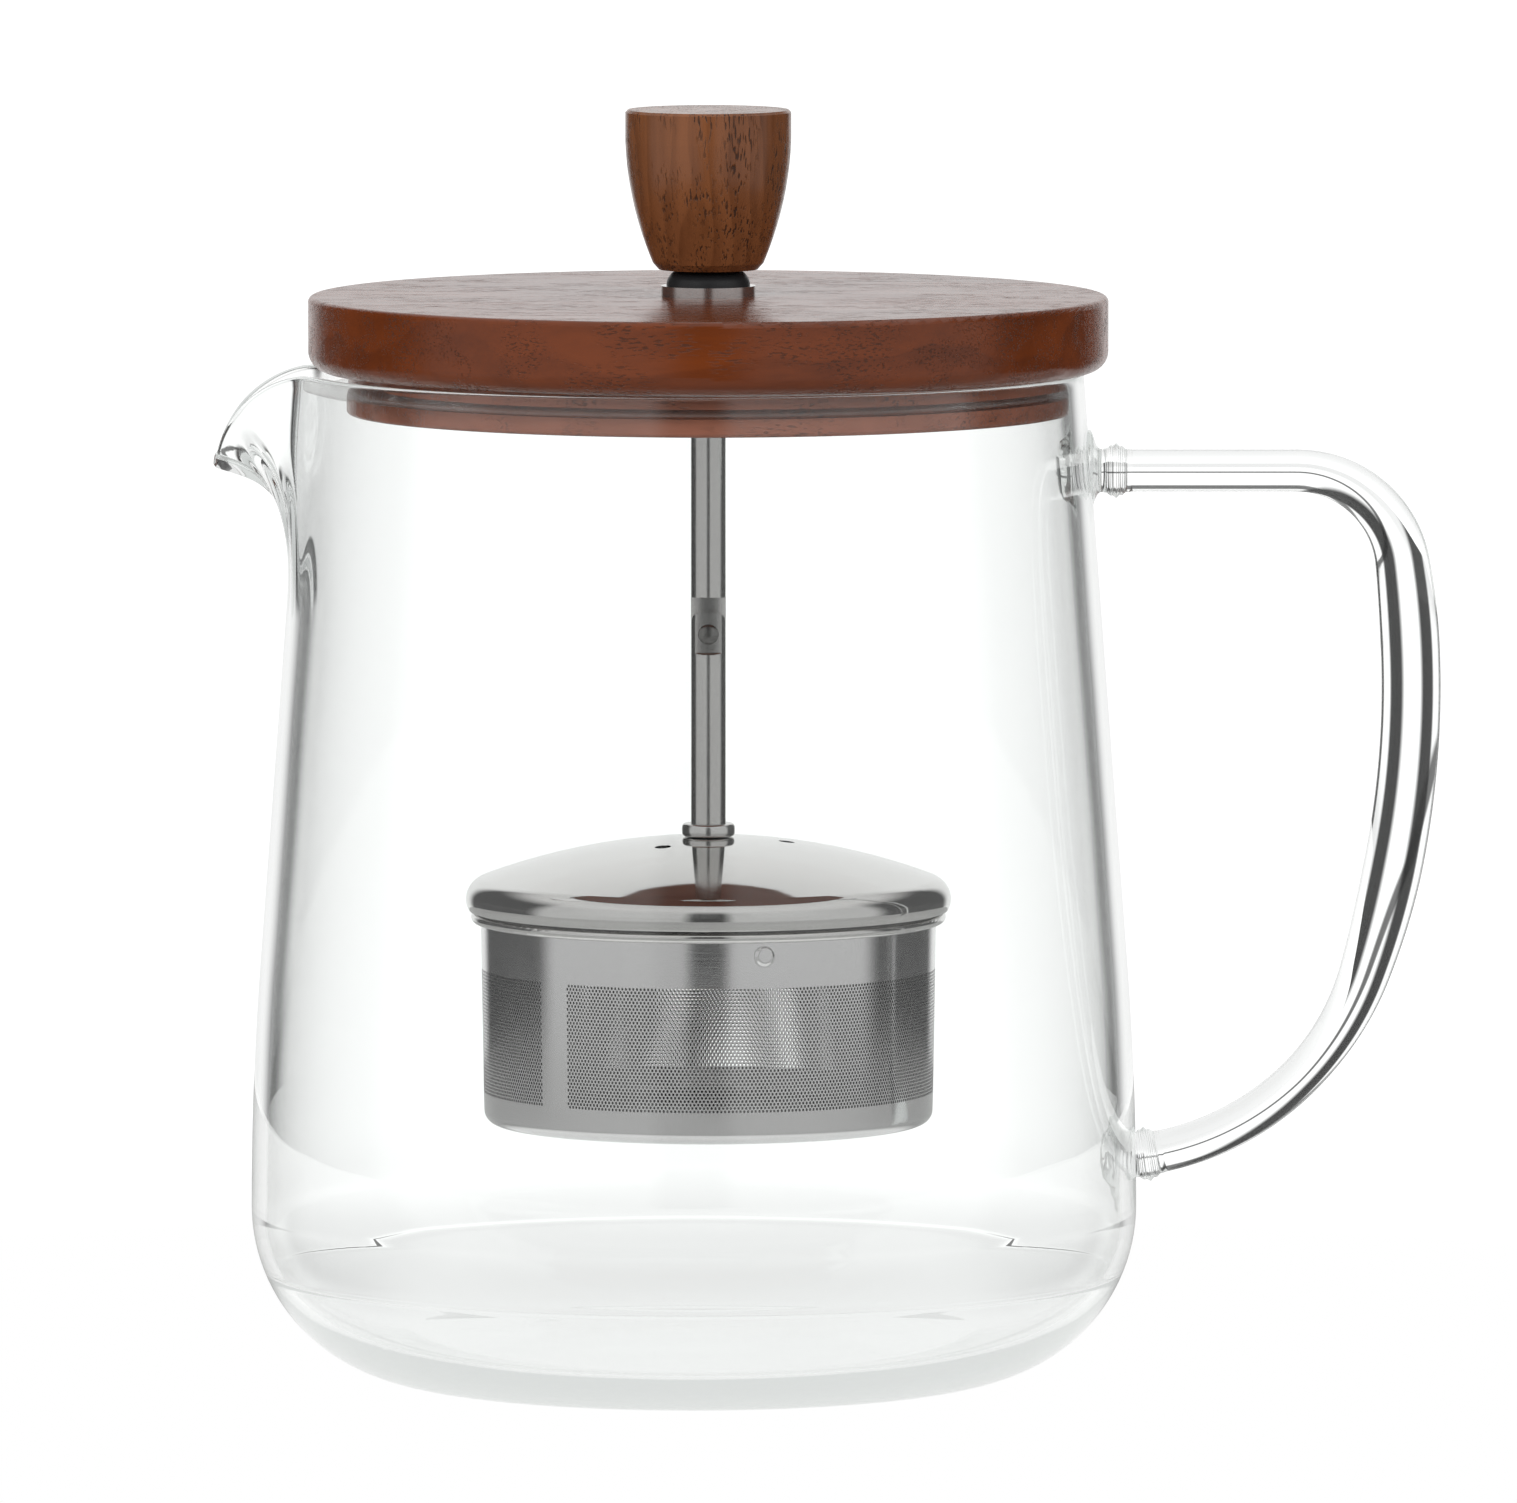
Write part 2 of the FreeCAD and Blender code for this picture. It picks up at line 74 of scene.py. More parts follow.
def put(name, points, faces, body, finish, stands_for=(), crease=40.0):
    """One finished piece from its points in millimetres and its faces, riding on a body."""
    mesh = bpy.data.meshes.new(name)
    mesh.from_pydata((np.asarray(points, float) * MM).tolist(), [], faces)
    mesh.validate()
    mesh.shade_smooth()
    mesh.set_sharp_from_angle(angle=math.radians(crease))
    mesh.materials.append(finish)
    thing = bpy.data.objects.new(name, mesh)
    bpy.context.scene.collection.objects.link(thing)
    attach(thing, body)
    if stands_for:
        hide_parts(*stands_for)
    return thing


def outward(points, faces):
    """The faces turned so that the closed surface encloses a positive volume."""
    triangles = np.array([[f[0], f[k], f[k + 1]] for f in faces for k in range(1, len(f) - 1)])
    a, b, c = points[triangles[:, 0]], points[triangles[:, 1]], points[triangles[:, 2]]
    volume = np.einsum("ij,ij->i", a, np.cross(b, c)).sum()
    return faces if volume > 0 else [tuple(reversed(f)) for f in faces]


def skin(grid, loop=False):
    """A closed surface over a (rows, columns) grid of points whose columns close round.

    The rows close round too when loop is set. Otherwise a centre point shuts each end row.
    """
    rows, columns, _ = grid.shape
    points = grid.reshape(-1, 3)
    lower = np.arange(rows if loop else rows - 1)[:, None] * columns
    upper = np.roll(np.arange(rows) * columns, -1)[: len(lower)][:, None]
    here = np.arange(columns)[None, :]
    after = np.roll(here, -1, axis=1)
    quads = np.stack([lower + here, lower + after, upper + after, upper + here], axis=-1)
    faces = [tuple(q) for q in quads.reshape(-1, 4).tolist()]
    if not loop:
        ends = grid[[0, -1]].mean(axis=1)
        points = np.vstack([points, ends])
        last = (rows - 1) * columns
        ring = list(zip(here[0].tolist(), after[0].tolist()))
        faces += [(rows * columns, b, a) for a, b in ring]
        faces += [(rows * columns + 1, last + a, last + b) for a, b in ring]
    return points, outward(points, faces)


def turned(profile, angles, axis_x=0.0):
    """A profile of (radius, height) points carried round an upright axis to every angle."""
    r, z = profile[:, 0][:, None], profile[:, 1][:, None]
    return np.stack([axis_x + r * np.cos(angles), r * np.sin(angles), z + 0 * angles], axis=-1)


def circle_arc(centre, radius, start, end, steps):
    """Points of an arc in the (radius, height) plane, angles in degrees from +radius."""
    a = np.radians(np.linspace(start, end, steps))
    return np.stack([centre[0] + radius * np.cos(a), centre[1] + radius * np.sin(a)], axis=-1)


def straight(start, end, steps):
    """Evenly spaced points from start to end."""
    t = np.linspace(0, 1, steps)[:, None]
    return np.array(start) * (1 - t) + np.array(end) * t


def smooth_step(value, low, high):
    """0 below low, 1 above high, and 3t^2 - 2t^3 between."""
    t = np.clip((value - low) / (high - low), 0, 1)
    return t * t * (3 - 2 * t)


def pierced_sheet(outer, inner, quads):
    """A thin closed sheet: quads on the outer points, the same reversed on the inner ones,
    and a wall along every edge that only one quad uses, so each hole gets its own rim."""
    count = len(outer)
    edges = np.concatenate([quads[:, [k, (k + 1) % 4]] for k in range(4)])
    forward = edges[:, 0].astype(np.int64) * count + edges[:, 1]
    backward = edges[:, 1].astype(np.int64) * count + edges[:, 0]
    border = edges[~np.isin(forward, backward)]
    walls = np.stack([border[:, 1], border[:, 0], border[:, 0] + count, border[:, 1] + count], axis=1)
    faces = np.concatenate([quads, quads[:, ::-1] + count, walls])
    return np.vstack([outer, inner]), faces.tolist()


# ---------------------------------------------------------------- material making

def finish_of(name):
    """A new material with its node tree and its Principled shader."""
    made = bpy.data.materials.new(name)
    made.use_nodes = True
    return made, made.node_tree, made.node_tree.nodes["Principled BSDF"]


def node(tree, kind, **values):
    """A new node with some of its properties or input values set."""
    made = tree.nodes.new(kind)
    for key, value in values.items():
        if key in made.inputs:
            made.inputs[key].default_value = value
        else:
            setattr(made, key, value)
    return made


def maths(tree, operation, *terms):
    """The result of a Math node whose terms are numbers or sockets."""
    made = node(tree, "ShaderNodeMath", operation=operation)
    for socket, term in zip(made.inputs, terms):
        if isinstance(term, (int, float)):
            socket.default_value = term
        else:
            tree.links.new(term, socket)
    return made.outputs[0]


def placed(tree, source=None, turn=(0, 0, 0), scale=(1, 1, 1), shift=(0, 0, 0)):
    """Object coordinates, or another vector, through a Mapping node."""
    if source is None:
        source = node(tree, "ShaderNodeTexCoord").outputs["Object"]
    mapping = node(tree, "ShaderNodeMapping", Rotation=turn, Scale=scale, Location=shift)
    tree.links.new(source, mapping.inputs["Vector"])
    return mapping.outputs["Vector"]


def noise(tree, vector, scale, detail=3.0, roughness=0.55):
    """The 0 to 1 value of a noise texture."""
    made = node(tree, "ShaderNodeTexNoise", Scale=scale, Detail=detail, Roughness=roughness)
    tree.links.new(vector, made.inputs["Vector"])
    return made.outputs[0]


def spread(tree, value, low, high, out_low=0.0, out_high=1.0):
    """A value stretched from low..high to out_low..out_high, held at both ends."""
    made = node(tree, "ShaderNodeMapRange", interpolation_type="SMOOTHSTEP")
    for socket, number in zip(made.inputs[1:5], (low, high, out_low, out_high)):
        socket.default_value = number
    tree.links.new(value, made.inputs[0])
    return made.outputs[0]


def blended(tree, share, first, second):
    """Two colours mixed by a share."""
    made = node(tree, "ShaderNodeMix", data_type="RGBA")
    terms = {"Factor": share, 6: first, 7: second}
    for place, term in terms.items():
        socket = made.inputs[place]
        if hasattr(term, "is_linked"):
            tree.links.new(term, socket)
        else:
            socket.default_value = term
    return made.outputs[2]


def bump(tree, shader, height, strength, distance):
    """Feeds a height in metres times distance into a shader's Normal."""
    made = node(tree, "ShaderNodeBump", Strength=strength, Distance=distance)
    tree.links.new(height, made.inputs["Height"])
    tree.links.new(made.outputs["Normal"], shader.inputs["Normal"])


def group_of(name, inputs, outputs):
    """An empty shader node group with named sockets, and its input and output nodes."""
    tree = bpy.data.node_groups.new(name, "ShaderNodeTree")
    for label, kind, value in inputs:
        socket = tree.interface.new_socket(name=label, in_out="INPUT", socket_type=kind)
        if value is not None:
            socket.default_value = value
    for label, kind in outputs:
        tree.interface.new_socket(name=label, in_out="OUTPUT", socket_type=kind)
    return tree, node(tree, "NodeGroupInput"), node(tree, "NodeGroupOutput")


def use_group(tree, group, vector, **values):
    """A group placed in a material, with its vector joined and its values set."""
    made = node(tree, "ShaderNodeGroup", node_tree=group)
    tree.links.new(vector, made.inputs["Vector"])
    for key, value in values.items():
        made.inputs[key.replace("_", " ")].default_value = value
    return made


FLOAT, COLOUR, VECTOR = "NodeSocketFloat", "NodeSocketColor", "NodeSocketVector"


def timber_group():
    """Open-pored reddish hardwood whose grain runs along the vector's X, in metres.

    Growth rings are bands of the wavering distance from a pith line below the board. Fibres are
    noise drawn out along the grain, and pores are short dark dashes of finer drawn-out noise.
    """
    tree, given, made = group_of(
        "timber",
        [("Vector", VECTOR, None), ("Pale", COLOUR, (0.132, 0.027, 0.004, 1)),
         ("Deep", COLOUR, (0.062, 0.012, 0.0018, 1)), ("Ring Pitch", FLOAT, 0.0075),
         ("Pores", FLOAT, 0.6)],
        [("Color", COLOUR), ("Roughness", FLOAT), ("Height", FLOAT)])
    source = given.outputs["Vector"]
    waver = noise(tree, placed(tree, source, scale=(0.35, 1, 1)), 55.0, 2.0)
    parts = node(tree, "ShaderNodeSeparateXYZ")
    tree.links.new(source, parts.inputs[0])
    across = maths(tree, "ADD", parts.outputs["Y"], 0.021)
    below = maths(tree, "ADD", parts.outputs["Z"], 0.036)
    reach = maths(tree, "SQRT", maths(tree, "ADD", maths(tree, "MULTIPLY", across, across),
                                      maths(tree, "MULTIPLY", below, below)))
    wavering = maths(tree, "ADD", reach, maths(tree, "MULTIPLY", waver, 0.026))
    turns = maths(tree, "DIVIDE", wavering, given.outputs["Ring Pitch"])
    ring = maths(tree, "FRACT", turns)
    late_wood = maths(tree, "MULTIPLY", spread(tree, ring, 0.1, 0.9), spread(tree, ring, 1.0, 0.9))
    fibre = noise(tree, placed(tree, source, scale=(0.055, 1, 1)), 900.0, 4.0, 0.65)
    streak = noise(tree, placed(tree, source, scale=(0.1, 1, 1)), 260.0, 3.0, 0.6)
    cloud = noise(tree, placed(tree, source, scale=(0.6, 1, 1)), 45.0, 2.0)
    dash = noise(tree, placed(tree, source, scale=(0.14, 1, 1)), 3600.0, 1.0, 0.5)
    gate = noise(tree, placed(tree, source, scale=(0.4, 1, 1)), 210.0, 2.0)
    pore = maths(tree, "MULTIPLY", spread(tree, dash, 0.55, 0.66), spread(tree, gate, 0.4, 0.62))
    tone = maths(tree, "ADD", maths(tree, "MULTIPLY", late_wood, 0.16), maths(tree, "MULTIPLY", streak, 0.55))
    tone = maths(tree, "ADD", tone, maths(tree, "MULTIPLY", fibre, 0.35))
    tone = maths(tree, "ADD", tone, maths(tree, "MULTIPLY", cloud, 0.5))
    tone = spread(tree, tone, 0.45, 1.25)
    colour = blended(tree, tone, given.outputs["Pale"], given.outputs["Deep"])
    depth = maths(tree, "MULTIPLY", pore, given.outputs["Pores"])
    colour = blended(tree, depth, colour, (0.022, 0.008, 0.004, 1))
    tree.links.new(colour, made.inputs["Color"])
    rough = maths(tree, "ADD", maths(tree, "MULTIPLY", fibre, 0.12), 0.15)
    tree.links.new(maths(tree, "ADD", rough, maths(tree, "MULTIPLY", pore, 0.25)), made.inputs["Roughness"])
    relief = maths(tree, "SUBTRACT", maths(tree, "MULTIPLY", fibre, 0.35), pore)
    tree.links.new(relief, made.inputs["Height"])
    return tree


def drawn_group():
    """Fine lines left along the vector's X by drawing or brushing: their height and roughness."""
    tree, given, made = group_of(
        "drawn_lines",
        [("Vector", VECTOR, None), ("Polish", FLOAT, 0.2), ("Spread", FLOAT, 0.1)],
        [("Roughness", FLOAT), ("Height", FLOAT)])
    lines = noise(tree, placed(tree, given.outputs["Vector"], scale=(0.02, 1, 1)), 5200.0, 3.0, 0.6)
    smear = noise(tree, placed(tree, given.outputs["Vector"], scale=(0.3, 1, 1)), 320.0, 2.0)
    mixed = maths(tree, "ADD", maths(tree, "MULTIPLY", lines, 0.6), maths(tree, "MULTIPLY", smear, 0.4))
    change = maths(tree, "MULTIPLY", maths(tree, "SUBTRACT", mixed, 0.5), given.outputs["Spread"])
    tree.links.new(maths(tree, "ADD", change, given.outputs["Polish"]), made.inputs["Roughness"])
    tree.links.new(lines, made.inputs["Height"])
    return tree


TIMBER = timber_group()
DRAWN = drawn_group()
ALONG_Z = (0, math.radians(90), 0)
TRAPPED_TURNS = 3.5
SHEET_COLOUR = (0.74, 0.73, 0.735)
# Painted shade: the dark colour given to the inner side of the etched sheet.
INSIDE_SHADE_COLOUR = (0.13, 0.125, 0.12)


def wood(name, turn=(0, 0, 0), shift=(0, 0, 0), **values):
    """Oiled hardwood cut with its grain turned to the given direction."""
    made, tree, shader = finish_of(name)
    grain = use_group(tree, TIMBER, placed(tree, turn=turn, shift=shift), **values)
    tree.links.new(grain.outputs["Color"], shader.inputs["Base Color"])
    tree.links.new(grain.outputs["Roughness"], shader.inputs["Roughness"])
    shader.inputs["Specular IOR Level"].default_value = 0.44
    bump(tree, shader, grain.outputs["Height"], 0.5, 0.00018)
    return made


def steel(name, colour, polish, change, relief, turn=(0, 0, 0)):
    """Stainless steel with drawn or brushed lines along the turned X."""
    made, tree, shader = finish_of(name)
    shader.inputs["Base Color"].default_value = (*colour, 1)
    shader.inputs["Metallic"].default_value = 1.0
    lines = use_group(tree, DRAWN, placed(tree, turn=turn), Polish=polish, Spread=change)
    tree.links.new(lines.outputs["Roughness"], shader.inputs["Roughness"])
    bump(tree, shader, lines.outputs["Height"], 0.25, relief)
    return made


def clear_glass(name, waver):
    """Blown borosilicate, with the slow waver of its surface. Lamps shine through it, and light
    turned back more than TRAPPED_TURNS times inside the wall counts as a pale glow."""
    made, tree, shader = finish_of(name)
    shader.inputs["Base Color"].default_value = (0.985, 0.995, 0.99, 1)
    shader.inputs["Roughness"].default_value = 0.0
    shader.inputs["IOR"].default_value = 1.47
    shader.inputs["Transmission Weight"].default_value = 1.0
    bump(tree, shader, noise(tree, placed(tree), 38.0, 1.0), 0.35, waver)
    through = node(tree, "ShaderNodeBsdfTransparent", Color=(0.96, 0.98, 0.97, 1))
    path = node(tree, "ShaderNodeLightPath")
    trapped = node(tree, "ShaderNodeEmission", Color=(0.97, 1, 0.985, 1), Strength=0.72)
    glass = node(tree, "ShaderNodeMixShader")
    tree.links.new(maths(tree, "GREATER_THAN", path.outputs["Glossy Depth"], TRAPPED_TURNS), glass.inputs[0])
    tree.links.new(shader.outputs[0], glass.inputs[1])
    tree.links.new(trapped.outputs[0], glass.inputs[2])
    either = node(tree, "ShaderNodeMixShader")
    tree.links.new(path.outputs["Is Shadow Ray"], either.inputs[0])
    tree.links.new(glass.outputs[0], either.inputs[1])
    tree.links.new(through.outputs[0], either.inputs[2])
    tree.links.new(either.outputs[0], tree.nodes["Material Output"].inputs["Surface"])
    return made


def rubber(name, colour, roughness, through=0.0):
    """Silicone rubber with a faint moulded grain, milky where light passes through."""
    made, tree, shader = finish_of(name)
    shader.inputs["Base Color"].default_value = (*colour, 1)
    shader.inputs["Transmission Weight"].default_value = through
    shader.inputs["IOR"].default_value = 1.41
    grain = noise(tree, placed(tree), 4200.0, 2.0)
    tree.links.new(spread(tree, grain, 0.2, 0.8, roughness - 0.06, roughness + 0.06),
                   shader.inputs["Roughness"])
    bump(tree, shader, grain, 0.2, 0.00003)
    return made


GLASS = clear_glass("clear_glass", 0.00012)
HANDLE_GLASS = clear_glass("handle_glass", 0.00006)
LID_WOOD = wood("lid_wood")
PLUG_WOOD = wood("plug_wood", shift=(0.03, 0.011, 0.02), Pale=(0.3, 0.11, 0.07, 1),
                 Deep=(0.17, 0.06, 0.035, 1))
KNOB_WOOD = wood("knob_wood", turn=ALONG_Z, shift=(0, 0.004, 0.0), Pale=(0.185, 0.066, 0.024, 1),
                 Deep=(0.066, 0.02, 0.006, 1), Ring_Pitch=0.003, Pores=0.9)
ROD_STEEL = steel("rod_steel", (0.63, 0.62, 0.61), 0.2, 0.12, 0.00002, ALONG_Z)
MIRROR_STEEL = steel("mirror_steel", (0.7, 0.69, 0.68), 0.05, 0.05, 0.000004)
TURNED_STEEL = steel("turned_steel", (0.7, 0.69, 0.68), 0.17, 0.1, 0.00001)
SHEET_STEEL = steel("sheet_steel", SHEET_COLOUR, 0.12, 0.09, 0.000012)
MESH_STEEL = steel("mesh_steel", SHEET_COLOUR, 0.12, 0.09, 0.000012)
RIVET_STEEL = steel("rivet_steel", (0.24, 0.235, 0.23), 0.26, 0.1, 0.00001)
BRASS = steel("insert_brass", (0.78, 0.57, 0.26), 0.25, 0.1, 0.00001)
SEAL_RUBBER = rubber("seal_silicone", (0.93, 0.9, 0.88), 0.22, 0.92)
SEAL_RUBBER.node_tree.nodes["Principled BSDF"].inputs["Alpha"].default_value = 0.3
GROMMET_RUBBER = rubber("grommet_silicone", (0.012, 0.012, 0.013), 0.38)

NODE_FINISH = {
    "lid_disc": LID_WOOD, "lid_plug": PLUG_WOOD, "knob": KNOB_WOOD, "seal_ring": SEAL_RUBBER,
    "grommet": GROMMET_RUBBER, "stem_bush": TURNED_STEEL, "bush_washer": TURNED_STEEL,
    "bush_nut": TURNED_STEEL, "knob_insert": BRASS, "upper_rod": ROD_STEEL, "lower_rod": ROD_STEEL,
    "knuckle_pin": TURNED_STEEL, "stem_collar": TURNED_STEEL, "infuser_cover": MIRROR_STEEL,
    "cover_skirt": SHEET_STEEL, "cover_washer": TURNED_STEEL, "cover_nut": TURNED_STEEL,
    "basket_rim": MIRROR_STEEL, "basket_floor": RIVET_STEEL,
}


def dress_nodes():
    """Gives each kept node its finish."""
    for name, finish in NODE_FINISH.items():
        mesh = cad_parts[name].data
        if not mesh.materials:
            mesh.materials.append(finish)
        for place in range(len(mesh.materials)):
            mesh.materials[place] = finish


# ---------------------------------------------------------------- glass body

BODY_LOW, BODY_HIGH = node_box("glass_body")
RIM_Z = BODY_HIGH[2]
BELLY_R = BODY_HIGH[1]
CORNER_R = 24.0
BELLY_ARC_R = 450.0
WALL_SLOPE = 4.6
RIM_R = 53.6
WALL = 2.1
INNERMOST_R = 0.6
RIM_RISE = 0.6
FLOOR_T = 4.0
INNER_CORNER_R = 19.0
SEAM_Z = 15.5
SEAM_DEPTH = 0.1
SEAM_WIDTH = 0.22
LIP_START_Z = 106.0
LIP_KEEL_Z = 123.8
LIP_TIP = -BODY_LOW[0]
NOSE_R = 8.0
NOSE_X = LIP_TIP - NOSE_R
LIP_LOW_Z = 125.4
LIP_EDGE_R = 14.1
LIP_FLARE = math.radians(24.0)
LIP_FILLET = 16.0
HANDLE_TOP_Z = 125.5
HANDLE_LOW_Z = 30.6
WELD_R = 5.7
WELD_DEPTH = 2.6
WELD_OUT_R = 55.0


def lip_edge(phi):
    """The rim's plan radius and height at angle phi from -X.

    In plan it is the rim circle joined to a round nose by flared sides. Its height falls along a
    quarter circle from the rim to the tip of the nose.
    """
    a = np.abs(phi)
    nose_foot = math.atan2(NOSE_R * math.cos(LIP_FLARE), NOSE_X + NOSE_R * math.sin(LIP_FLARE))
    inside = np.clip(NOSE_R ** 2 - (NOSE_X * np.sin(a)) ** 2, 0, None)
    nose = NOSE_X * np.cos(a) + np.sqrt(inside)
    span = NOSE_R / math.cos(LIP_FLARE) + NOSE_X * math.tan(LIP_FLARE)
    side = span / (np.sin(a) + np.cos(a) * math.tan(LIP_FLARE) + 1e-9)
    lip = np.where(a < nose_foot, nose, side)
    joined = 0.5 * (lip + RIM_R + np.sqrt((lip - RIM_R) ** 2 + LIP_FILLET))
    reach = RIM_R + (joined - RIM_R) * (1 - smooth_step(a, math.radians(12), math.radians(36)))
    out = np.clip(reach * np.cos(a) - (LIP_TIP - LIP_EDGE_R), 0, LIP_EDGE_R)
    height = LIP_LOW_Z + np.sqrt(LIP_EDGE_R ** 2 - out ** 2 + 0.5)
    return reach, np.minimum(height, RIM_Z)


def wall_profile():
    """The outer side up to where the lip may start: flat base, corner arc, belly arc, taper."""
    base_r = BELLY_R - CORNER_R
    corner = circle_arc((base_r, CORNER_R), CORNER_R, -90, 0, 30)
    belly = circle_arc((BELLY_R - BELLY_ARC_R, CORNER_R), BELLY_ARC_R, 0, WALL_SLOPE, 20)
    taper_end = taper(belly[-1], LIP_START_Z)
    taper_points = straight(belly[-1], taper_end, 14)
    base = straight((INNERMOST_R, 0.0), (base_r, 0.0), 5)
    return base, corner, belly, taper_points


def taper(foot, height):
    """The outer wall's point at a height on the straight run from foot to the rim."""
    share = (height - foot[1]) / (RIM_Z - foot[1])
    return np.array([foot[0] + (RIM_R - foot[0]) * share, height])


def lip_rows(phi, foot, steps):
    """The wall from the lip's start to the rim: for each column a cubic Bezier curve in the plane
    through the axis, straight beside the lip and bent outwards over the pouring channel."""
    reach, height = lip_edge(phi)
    start = taper(foot, LIP_START_Z)
    keel = taper(foot, LIP_KEEL_Z)
    rise = math.radians(8) + math.radians(82) * smooth_step(np.abs(phi), 0, math.radians(8))
    across = smooth_step(reach - RIM_R, 0.0, 7.0)
    slope = math.atan2(RIM_Z - start[1], RIM_R - start[0])
    lean = rise * across + slope * (1 - across)
    edge_r = reach - RIM_RISE * np.cos(lean)
    edge_z = height - RIM_RISE * np.sin(lean)
    pull = 0.62 * np.hypot(edge_r - keel[0], edge_z - keel[1])
    first_r = (start[0] * 2 + edge_r) / 3 * (1 - across) + keel[0] * across
    first_z = (start[1] * 2 + edge_z) / 3 * (1 - across) + keel[1] * across
    second_r = (start[0] + edge_r * 2) / 3 * (1 - across) + (edge_r - pull * np.cos(rise)) * across
    second_z = (start[1] + edge_z * 2) / 3 * (1 - across) + (edge_z - pull * np.sin(rise)) * across
    t = np.linspace(0, 1, steps)[1:, None]
    weights = ((1 - t) ** 3, 3 * t * (1 - t) ** 2, 3 * t ** 2 * (1 - t), t ** 3)
    r = sum(w * p for w, p in zip(weights, (start[0] + 0 * phi, first_r, second_r, edge_r)))
    z = sum(w * p for w, p in zip(weights, (start[1] + 0 * phi, first_z, second_z, edge_z)))
    return r, z


def normals_of(grid):
    """Unit normals of a grid whose columns close round, from its central differences."""
    along = np.gradient(grid, axis=0)
    around = np.roll(grid, -1, axis=1) - np.roll(grid, 1, axis=1)
    cross = np.cross(around, along)
    return cross / np.linalg.norm(cross, axis=-1, keepdims=True), along


def pot_columns():
    """Column angles, close together over the lip and at the handle's welds."""
    lip = np.radians(np.linspace(-38, 38, 177)) + math.pi
    weld = np.radians(np.linspace(-9, 9, 37))
    near = np.radians(np.linspace(9, 142, 107))[1:-1]
    return np.concatenate([weld, near, lip, 2 * math.pi - near[::-1]])


def weld_bulge(theta, z):
    """How far the inner side stands in behind the handle's two welds: two low round domes."""
    angle = (theta + math.pi) % (2 * math.pi) - math.pi
    bulge = 0 * z
    for height in (HANDLE_TOP_Z, HANDLE_LOW_Z):
        away = np.hypot(angle * WELD_OUT_R, z - height) / WELD_R
        dome = np.sqrt(np.clip(1 - away ** 2, 0, None))
        bulge = bulge + WELD_DEPTH * dome * smooth_step(1 - away, 0, 0.35)
    return bulge


def make_pot():
    """The pot's outer rows, a flat-topped round rim, and inner rows one wall in, as one closed skin."""
    theta = pot_columns()
    phi = theta % (2 * math.pi) - math.pi
    base, corner, belly, taper_points = wall_profile()
    lower = np.vstack([base, corner[1:], belly[1:], taper_points[1:]])
    lip_r, lip_z = lip_rows(phi, belly[-1], 30)
    r = np.vstack([np.repeat(lower[:, :1], len(theta), axis=1), lip_r])
    z = np.vstack([np.repeat(lower[:, 1:], len(theta), axis=1), lip_z])
    outer = np.stack([r * np.cos(theta), r * np.sin(theta), z], axis=-1)
    normals, along = normals_of(outer)
    first = len(base) + len(corner) - 2
    inner = (outer - WALL * normals)[first:]
    tip = along[-1] / np.linalg.norm(along[-1], axis=-1, keepdims=True)
    middle = (outer[-1] + inner[-1]) / 2
    a = np.linspace(0, math.pi, 12)[1:-1, None, None]
    sideways = WALL / 2 * np.copysign(np.abs(np.cos(a)) ** 0.6, np.cos(a))
    rim = middle + sideways * normals[-1] + RIM_RISE * np.sin(a) ** 0.7 * tip
    inner = inner[::-1]
    depth = weld_bulge(theta, inner[..., 2])[..., None]
    inward = np.stack([-np.cos(theta), -np.sin(theta), 0 * theta], axis=-1)
    inner = inner + depth * inward
    low_r = BELLY_R - WALL - INNER_CORNER_R
    bowl = circle_arc((low_r, FLOOR_T + INNER_CORNER_R), INNER_CORNER_R, 0, -90, 90)
    seam = np.exp(-((bowl[:, 1] - SEAM_Z) / SEAM_WIDTH) ** 2)[:, None] * SEAM_DEPTH
    away = bowl - np.array([low_r, FLOOR_T + INNER_CORNER_R])
    bowl = bowl + away / INNER_CORNER_R * seam
    floor = straight((low_r, FLOOR_T), (INNERMOST_R, FLOOR_T), 5)
    inside = turned(np.vstack([bowl, floor[1:]]), theta)
    bulge = weld_bulge(theta, inside[..., 2])[..., None]
    grid = np.concatenate([outer, rim, inner, inside + bulge * inward])
    points, faces = skin(grid)
    put("pot_glass", points, faces, "pot", GLASS, ("glass_body",), crease=60)


# ---------------------------------------------------------------- handle

HANDLE_STRAIGHT_X = 82.95
HANDLE_BENDS = ((14.69, 81.94), (124.89, 26.26), (37.44, 70.15))
HANDLE_THIN = 2.9
HANDLE_GRIP = 4.1
PAD_R = 5.6


def handle_path():
    """The handle's centre line and headings: a level run, then three tangent bends back to the wall."""
    start = np.array([RIM_R, HANDLE_TOP_Z])
    points = [straight(start, (HANDLE_STRAIGHT_X, HANDLE_TOP_Z), 60)]
    headings = [np.zeros(60)]
    heading = 0.0
    for radius, degrees in HANDLE_BENDS:
        centre = points[-1][-1] + radius * np.array([math.sin(heading), -math.cos(heading)])
        turn = np.radians(np.linspace(0, degrees, max(int(radius * math.radians(degrees) / 0.6), 12)))[1:]
        angle = math.pi / 2 + heading - turn
        points.append(centre + radius * np.stack([np.cos(angle), np.sin(angle)], axis=-1))
        headings.append(heading - turn)
        heading = headings[-1][-1]
    return np.vstack(points), np.concatenate(headings)


def handle_radius(length):
    """The rod's radius along its length from the wall: a spread weld pad with soft rings,
    a thin neck, and a fuller grip."""
    total = length[-1]
    from_end = np.minimum(length, total - length)
    rod = HANDLE_THIN + (HANDLE_GRIP - HANDLE_THIN) * smooth_step(from_end, 28, 62)
    pad = (PAD_R - HANDLE_THIN) * np.exp(-(np.clip(from_end - 0.9, 0, None) / 0.75) ** 2)
    collar = 0.75 * np.exp(-((from_end - 4.4) / 1.15) ** 2)
    rings = 0.16 * np.cos(from_end * 2 * math.pi / 0.9) * np.exp(-((from_end - 4.6) / 1.3) ** 2)
    return rod + pad + collar + rings


